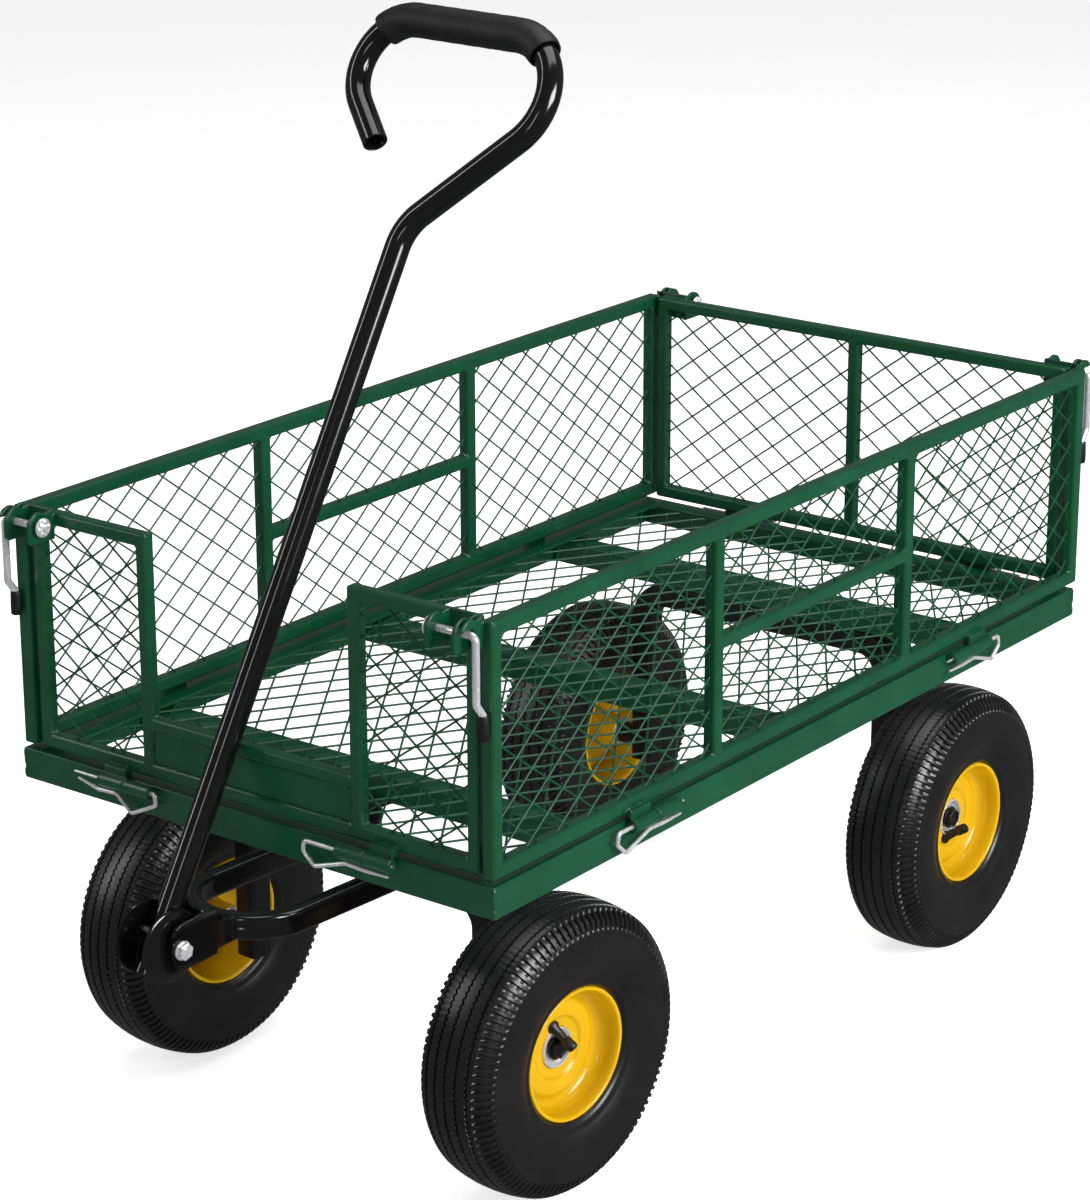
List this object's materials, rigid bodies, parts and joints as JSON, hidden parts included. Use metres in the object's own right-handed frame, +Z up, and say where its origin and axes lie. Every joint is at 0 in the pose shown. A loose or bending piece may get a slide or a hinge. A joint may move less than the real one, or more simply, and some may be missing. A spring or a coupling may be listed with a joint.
{
  "type": "tow behind cart",
  "caption": "Steel utility cart with a mesh tray, fold-down mesh sides and tailgate, steered front axle, tilting pull handle and pneumatic wheels.",
  "frame": {"origin": "on the ground, at the middle of the cart's footprint", "axes": "+Z up, -Y towards the pull handle and front axle, +X to the cart's right seen from behind"},
  "size_m": [0.55, 1.1007, 0.9721],
  "materials": {
    "green_powder_coat": "semi-gloss dark green powder coat",
    "gloss_black": "gloss black enamel",
    "satin_black": "satin black powder coat",
    "wheel_yellow": "gloss yellow enamel",
    "zinc_plate": "bright zinc plate",
    "tyre_rubber": "black tyre rubber",
    "grip_foam": "matt black vinyl sleeve",
    "cap_rubber": "black rubber"
  },
  "bodies": {
    "cart_bed": {"tray_frame": "green_powder_coat", "cross_member_front": "green_powder_coat", "cross_member_middle": "green_powder_coat", "cross_member_rear": "green_powder_coat", "deck_mesh": "green_powder_coat", "front_gate_frame": "green_powder_coat", "front_gate_plate": "green_powder_coat", "front_gate_mesh_left": "green_powder_coat", "front_gate_mesh_right": "green_powder_coat", "rear_arch": "satin_black", "king_pin": "satin_black", "axle_rear_left": "satin_black", "axle_rear_right": "satin_black", "clip_left_side_front": "zinc_plate", "clip_left_side_rear": "zinc_plate", "clip_right_side_front": "zinc_plate", "clip_right_side_rear": "zinc_plate", "clip_front_gate_left": "zinc_plate", "clip_front_gate_right": "zinc_plate", "clip_rear_gate_left": "zinc_plate", "clip_rear_gate_right": "zinc_plate"},
    "left_side": {"left_side_frame": "green_powder_coat", "left_side_mesh_front": "green_powder_coat", "left_side_mesh_rear": "green_powder_coat", "left_side_mesh_lower": "green_powder_coat", "left_side_mesh_upper": "green_powder_coat"},
    "right_side": {"right_side_frame": "green_powder_coat", "right_side_mesh_front": "green_powder_coat", "right_side_mesh_rear": "green_powder_coat", "right_side_mesh_lower": "green_powder_coat", "right_side_mesh_upper": "green_powder_coat"},
    "rear_gate": {"rear_gate_frame": "green_powder_coat", "rear_gate_mesh_left": "green_powder_coat", "rear_gate_mesh_right": "green_powder_coat"},
    "front_axle": {"front_arch": "satin_black", "wishbone": "satin_black", "pivot_bolt": "zinc_plate", "axle_front_left": "satin_black", "axle_front_right": "satin_black"},
    "handle": {"handle_tube": "gloss_black", "handle_grip": "grip_foam"},
    "latch_front_left": {"latch_lever_front_left": "zinc_plate", "latch_cap_front_left": "cap_rubber"},
    "wheel_front_left": {"tyre_front_left": "tyre_rubber", "rim_front_left": "wheel_yellow"},
    "latch_front_right": {"latch_lever_front_right": "zinc_plate", "latch_cap_front_right": "cap_rubber"},
    "wheel_front_right": {"tyre_front_right": "tyre_rubber", "rim_front_right": "wheel_yellow"},
    "latch_rear_left": {"latch_lever_rear_left": "zinc_plate", "latch_cap_rear_left": "cap_rubber"},
    "wheel_rear_left": {"tyre_rear_left": "tyre_rubber", "rim_rear_left": "wheel_yellow"},
    "latch_rear_right": {"latch_lever_rear_right": "zinc_plate", "latch_cap_rear_right": "cap_rubber"},
    "wheel_rear_right": {"tyre_rear_right": "tyre_rubber", "rim_rear_right": "wheel_yellow"}
  },
  "joints": [
    {"name": "left_side_fold", "type": "hinge", "parent": "cart_bed", "child": "left_side", "pos_m": [-0.269, 0.0482, 0.332], "axis": [0, -1, 0], "range_deg": [0, 180]},
    {"name": "right_side_fold", "type": "hinge", "parent": "cart_bed", "child": "right_side", "pos_m": [0.269, 0.0482, 0.332], "axis": [0, 1, 0], "range_deg": [0, 180]},
    {"name": "rear_gate_fold", "type": "hinge", "parent": "cart_bed", "child": "rear_gate", "pos_m": [0, 0.5312, 0.332], "axis": [-1, 0, 0], "range_deg": [0, 180]},
    {"name": "steering", "type": "hinge", "parent": "cart_bed", "child": "front_axle", "pos_m": [0, -0.2683, 0.249], "axis": [0, 0, 1], "range_deg": [-7.5, 16]},
    {"name": "handle_tilt", "type": "hinge", "parent": "front_axle", "child": "handle", "pos_m": [-0.01855, -0.51611, 0.249], "axis": [0.9972, -0.0746, 0], "range_deg": [0, 130]},
    {"name": "latch_front_left_swing", "type": "hinge", "parent": "cart_bed", "child": "latch_front_left", "pos_m": [-0.23, -0.4364, 0.552], "axis": [-1, 0, 0], "range_deg": [0, 180]},
    {"name": "latch_front_right_swing", "type": "hinge", "parent": "cart_bed", "child": "latch_front_right", "pos_m": [0.23, -0.4364, 0.552], "axis": [-1, 0, 0], "range_deg": [0, 180]},
    {"name": "latch_rear_left_swing", "type": "hinge", "parent": "rear_gate", "child": "latch_rear_left", "pos_m": [-0.23, 0.5388, 0.552], "axis": [1, 0, 0], "range_deg": [0, 180]},
    {"name": "latch_rear_right_swing", "type": "hinge", "parent": "rear_gate", "child": "latch_rear_right", "pos_m": [0.23, 0.5388, 0.552], "axis": [1, 0, 0], "range_deg": [0, 180]},
    {"name": "wheel_front_left_spin", "type": "hinge", "parent": "front_axle", "child": "wheel_front_left", "pos_m": [-0.21201, -0.25243, 0.1315], "axis": [0.9972, -0.0746, 0], "continuous": true},
    {"name": "wheel_front_right_spin", "type": "hinge", "parent": "front_axle", "child": "wheel_front_right", "pos_m": [0.21201, -0.28417, 0.1315], "axis": [0.9972, -0.0746, 0], "continuous": true},
    {"name": "wheel_rear_left_spin", "type": "hinge", "parent": "cart_bed", "child": "wheel_rear_left", "pos_m": [-0.2126, 0.3612, 0.1315], "axis": [1, 0, 0], "continuous": true},
    {"name": "wheel_rear_right_spin", "type": "hinge", "parent": "cart_bed", "child": "wheel_rear_right", "pos_m": [0.2126, 0.3612, 0.1315], "axis": [1, 0, 0], "continuous": true}
  ]
}
